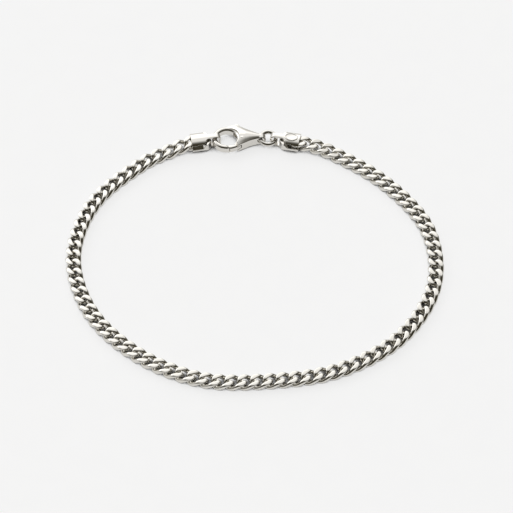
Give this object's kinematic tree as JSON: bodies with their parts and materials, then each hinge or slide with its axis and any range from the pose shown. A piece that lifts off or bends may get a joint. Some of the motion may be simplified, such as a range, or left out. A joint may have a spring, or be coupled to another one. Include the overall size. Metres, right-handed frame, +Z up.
{
  "type": "link bracelet",
  "caption": "Curb-link chain bracelet of polished silver, closed by a lobster clasp, lying flat in an oval loop.",
  "frame": {"origin": "on the table under the middle of the bracelet's bounding box", "axes": "+X to the right along the loop's longest extent, +Y away from the viewer to the clasp, +Z up from the table"},
  "size_m": [0.0668, 0.0615, 0.0026],
  "materials": {
    "silver": "polished silver",
    "silver_clasp": "polished silver, clasp"
  },
  "bodies": {
    "bracelet": {"chain_left": "silver", "chain_right": "silver", "end_cap_left": "silver", "end_cap_right": "silver", "clasp_body": "silver_clasp", "clasp_rivet": "silver_clasp", "jump_ring": "silver"},
    "gate": {"clasp_gate": "silver_clasp"}
  },
  "joints": [
    {"name": "gate_hinge", "type": "hinge", "parent": "bracelet", "child": "gate", "pos_m": [-0.00232, 0.02684, 0.00125], "axis": [0, 0, -1], "range_deg": [0, 28], "stiffness_Nm_per_rad": 0.001, "springref_deg": -8.59}
  ]
}
